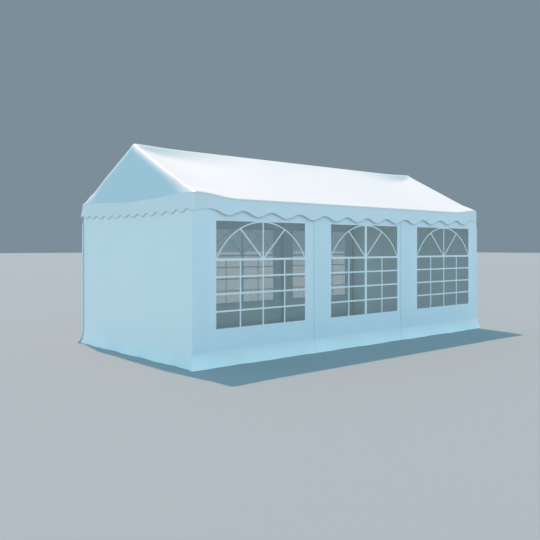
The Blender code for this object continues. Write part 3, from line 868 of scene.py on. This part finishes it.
openings = {}
for side_name, side in SIDES.items():
    for bay in BAYS:
        low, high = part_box(f"window_{side_name}_{bay}")
        window_left, window_right = low.x + FILM_LAP, high.x - FILM_LAP
        sill, top = low.z + FILM_LAP, high.z - FILM_LAP
        opening = openings[side_name, bay] = (window_left, window_right, sill, top)
        low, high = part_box(f"wall_{side_name}_{bay}")
        left = -WALL_END if bay == BAYS[0] else low.x
        right = WALL_END if bay == BAYS[-1] else high.x
        strip, skirt = STRIP_WIDTHS[bay - 1], SKIRT_HEIGHTS[bay - 1]
        foot = spaced(HEM_HEIGHT, skirt, FLARE_HEIGHT, longest=FOOT_STEP)

        across = spaced(left, window_left, window_right, right, longest=PANEL_STEP)
        upward = foot + spaced(FLARE_HEIGHT, sill, top, FLAP_TOP, WALL_TOP, longest=WALL_STEP)[1:]
        panel = wall_cloth(f"panel_{side_name}_{bay}", side, across, upward, wall_finish, opening=opening)
        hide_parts(f"wall_{side_name}_{bay}")
        right - left
        (right - left) * WALL_TOP - (window_right - window_left) * (top - sill)

        def raised(x, left=left, bay=bay):
            """How far the second layer stands off its panel: most at an edge between two bays."""
            return LAYER_PROUD + (FREE_EDGE * swell(x - left, FREE_EDGE_WIDTH) if bay > BAYS[0] else 0.0)

        strips = {"strip": (left, left + strip)}
        if bay == BAYS[-1]:
            strips["end_strip"] = (right - END_STRIP, right)
        upward = foot + spaced(FLARE_HEIGHT, FLAP_FULL, FLAP_TOP, STRIP_TOP, longest=WALL_STEP)[1:]
        for label, (start, stop) in strips.items():
            across = spaced(start, stop, longest=STRIP_STEP)
            name = f"{label}_{side_name}_{bay}"
            doubled = wall_cloth(name, side, across, upward, strip_finish, raised, LAYER)
            stop - start
        start, stop = left + strip, (right - END_STRIP if bay == BAYS[-1] else right)
        across = spaced(start, stop, longest=PANEL_STEP)
        upward = spaced(HEM_HEIGHT, skirt, longest=FOOT_STEP)
        name = f"skirt_{side_name}_{bay}"
        doubled = wall_cloth(name, side, across, upward, skirt_painted_light_finish, raised, LAYER)
        stop - start


# Window film
# Clear flexible film, faintly grey, glossy and not quite flat. Each sheet of it is a
# little larger than its opening and is welded behind it.
FILM_THICKNESS = 0.0008
FILM_TINT, FILM_ROUGHNESS, FILM_ALPHA = (0.56, 0.60, 0.58, 1.0), 0.06, 0.22
BILLOWS_PER_METRE, BILLOW_DETAIL, BILLOW_RELIEF, BILLOW_STRENGTH = 3.2, 1.0, 0.02, 0.25
FILM_PLANE = WALL_PLANE - SHEET - SEAT_GAP
FILM_STEP = 0.11

film_finish = Finish("clear_film", base_color=FILM_TINT, roughness=FILM_ROUGHNESS, alpha=FILM_ALPHA)
billows = film_finish.noise(film_finish.places(), BILLOWS_PER_METRE, BILLOW_DETAIL)
film_finish.feed("Normal", film_finish.bump(billows, BILLOW_RELIEF, BILLOW_STRENGTH))

for side_name, side in SIDES.items():
    for bay in BAYS:
        low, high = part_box(f"window_{side_name}_{bay}")
        across = spaced(low.x, high.x, longest=FILM_STEP)[::-side]
        upward = spaced(low.z, high.z, longest=FILM_STEP)
        rows = [[Vector((x, side * FILM_PLANE, z)) for x in across] for z in upward]
        film = cloth(f"film_{side_name}_{bay}", rows, film_finish.material, FILM_THICKNESS)
        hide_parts(f"window_{side_name}_{bay}")
        size = (high.x - low.x, high.z - low.z)


# Window bars
# White tape welded on the film: four rows of panes, and over the transom a flat
# arch with a spoke to each side of its middle post. A rim of tape edges the opening.
TRANSOM_HEIGHT = 1.292
ROWS_BELOW = 4
COLUMN_SHARE = 0.5
ARCH_POINTS = 49
ROW_TAPE, COLUMN_TAPE, TRANSOM_TAPE = 0.021, 0.020, 0.028
ARCH_TAPE, SPOKE_TAPE, RIM_TAPE = 0.015, 0.018, 0.009
POST_TAPES = (0.020, 0.046, 0.020)
TAPE_BUILD, TAPE_GROWTH = 0.0012, 0.0001
RIM_PROUD = WALL_PLANE - FILM_PLANE - TAPE_BUILD
TAPE_GREY, TAPE_WHITE, TAPE_ROUGHNESS = (0.93, 0.95, 0.96, 1.0), (0.96, 0.97, 0.98, 1.0), 0.38
SMEARS_PER_METRE = 14.0
RIBS_PER_METRE, RIB_DETAIL, RIB_RELIEF, RIB_STRENGTH = 240.0, 1.0, 0.0001, 0.4
USUAL_WINDOW = {"Width": 1.49, "Below": 0.837, "Above": 0.473, "Spoke": 0.38, "Post": 0.02}

bars = Maker("window_bars", **USUAL_WINDOW, Turn=0.0, Place=(0.0, 0.0, 0.0))
half, below, above = bars.value("Width") * 0.5, bars.value("Below"), bars.value("Above")
tapes = []


def lay_tape(start, end, width):
    """Lays a straight tape between two places on the window."""
    settings = {"Start": bars.vector(*start, 0.0), "End": bars.vector(*end, 0.0)}
    line = bars.node("GeometryNodeCurvePrimitiveLine", {}, settings)
    lay_curve(line, width)


def lay_curve(curve, width):
    """Lays a tape along a curve, a little thicker than the last one, so that their faces stay apart."""
    curve = bars.node("GeometryNodeSetCurveNormal", {"mode": "Z_UP"}, {"Curve": curve})
    build = 2 * (TAPE_BUILD + TAPE_GROWTH * len(tapes))
    section = bars.node("GeometryNodeCurvePrimitiveQuadrilateral", {}, {"Width": width, "Height": build})
    settings = {"Curve": curve, "Profile Curve": section, "Fill Caps": True}
    tapes.append(bars.node("GeometryNodeCurveToMesh", {}, settings))


through = {
    "Start": bars.vector(-half, 0.0, 0.0),
    "Middle": bars.vector(0.0, above, 0.0),
    "End": bars.vector(half, 0.0, 0.0),
    "Resolution": ARCH_POINTS,
}
lay_curve(bars.node("GeometryNodeCurveArc", {"mode": "POINTS"}, through), ARCH_TAPE)
columns = (half * -COLUMN_SHARE, half * COLUMN_SHARE)
for column in columns:
    lay_tape((0.0, 0.0), (column, bars.value("Spoke")), SPOKE_TAPE)
for row in range(1, ROWS_BELOW):
    height = below * (-row / ROWS_BELOW)
    lay_tape((-half, height), (half, height), ROW_TAPE)
for column in columns:
    lay_tape((column, 0.0), (column, -below), COLUMN_TAPE)
lay_tape((0.0, -below), (0.0, above), bars.value("Post"))
lay_tape((-half, 0.0), (half, 0.0), TRANSOM_TAPE)
size = {"Width": bars.value("Width") + RIM_TAPE, "Height": below + above + RIM_TAPE}
rim = bars.node("GeometryNodeCurvePrimitiveQuadrilateral", {}, size)
rim_place = bars.vector(0.0, (above - below) * 0.5, RIM_PROUD)
lay_curve(bars.node("GeometryNodeTransform", {}, {"Geometry": rim, "Translation": rim_place}), RIM_TAPE)
standing = bars.vector(QUARTER_TURN, 0.0, bars.value("Turn"))
placing = {"Geometry": bars.together(tapes), "Translation": bars.value("Place"), "Rotation": standing}
bars.end(bars.node("GeometryNodeTransform", {}, placing))

tape_finish = Finish("window_tape", roughness=TAPE_ROUGHNESS)
smears = tape_finish.noise(tape_finish.places(), SMEARS_PER_METRE)
ribs = tape_finish.noise(tape_finish.places(), RIBS_PER_METRE, RIB_DETAIL)
tape_finish.feed("Base Color", tape_finish.blend(smears, TAPE_GREY, TAPE_WHITE))
tape_finish.feed("Normal", tape_finish.bump(ribs, RIB_RELIEF, RIB_STRENGTH))

for (side_name, bay), (left, right, sill, top) in openings.items():
    side, half_width, rise = SIDES[side_name], (right - left) / 2, top - TRANSOM_HEIGHT
    arch_radius = (half_width**2 + rise**2) / (2 * rise)
    made = bars.make(
        f"bars_{side_name}_{bay}",
        None,
        tape_finish.material,
        Width=right - left,
        Below=TRANSOM_HEIGHT - sill,
        Above=rise,
        Spoke=math.sqrt(arch_radius**2 - (half_width * COLUMN_SHARE) ** 2) - arch_radius + rise,
        Post=POST_TAPES[bay - 1],
        Turn=0.0 if side < 0 else math.pi,
        Place=((left + right) / 2, side * FILM_PLANE, TRANSOM_HEIGHT),
    )


# End walls
# One plain sheet at each end. Its foot leans out a little, its head lies against
# the valance, and its edges are held to the long walls' flaps, with a narrow gap
# left at the back.
END_WALL_OUT, END_WALL_RISE = 0.003, 0.05
END_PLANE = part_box("wall_right")[0].x + END_WALL_OUT
END_TOP = EAVE_HEIGHT + END_WALL_RISE
HEAD_REACH, HEAD_START, HEAD_FULL, HEAD_DROP = 0.012, 1.65, 1.9, 0.03
EDGE_GAP, BACK_GAP = 0.002, 0.014
END_PACE = 1.3
LEAN_STEP, END_STEP, SHARE_STEP = 0.02, 0.1, 0.02
# Painted shade: the end walls' white is a cool blue copy of the same white cloth, tinted as if in the sky's
# blue shade.
END_WHITE_PAINTED_SHADE, END_COOL_PAINTED_SHADE = (0.90, 0.95, 0.96), (0.89, 0.945, 0.955)

end_finish = coated_fabric("end_wall_fabric", END_WHITE_PAINTED_SHADE, END_COOL_PAINTED_SHADE)
end_heights = spaced(HEM_HEIGHT, LEAN_HEIGHT, longest=LEAN_STEP)
end_heights += spaced(LEAN_HEIGHT, FLAP_FULL, FLAP_TOP, END_TOP, longest=END_STEP)[1:]


def end_point(end, share, height):
    """A point of an end wall, at a share of the way from its front edge to its back edge."""
    front, back = (side_point(side, end * WALL_END, height).y for side in (-1, 1))
    front, back = front + SHEET + EDGE_GAP, back - SHEET - BACK_GAP
    y = front + (back - front) * share
    head = HEAD_REACH * (1 - swell(height - HEAD_START, HEAD_FULL - HEAD_START))
    x = end * (END_PLANE + head + end_lean(height) + hem_wave(y * END_PACE + end, height))
    return head_corner(x, y, min(height, roof_top(CREST, y) - HEAD_DROP))


for end_name, end in {"left": -1, "right": 1}.items():
    shares = spaced(0.0, 1.0, longest=SHARE_STEP)[::end]
    rows = [[end_point(end, share, height) for share in shares] for height in end_heights]
    wall = cloth(f"end_wall_{end_name}", rows, end_finish.material)
    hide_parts(f"wall_{end_name}")


low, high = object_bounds()
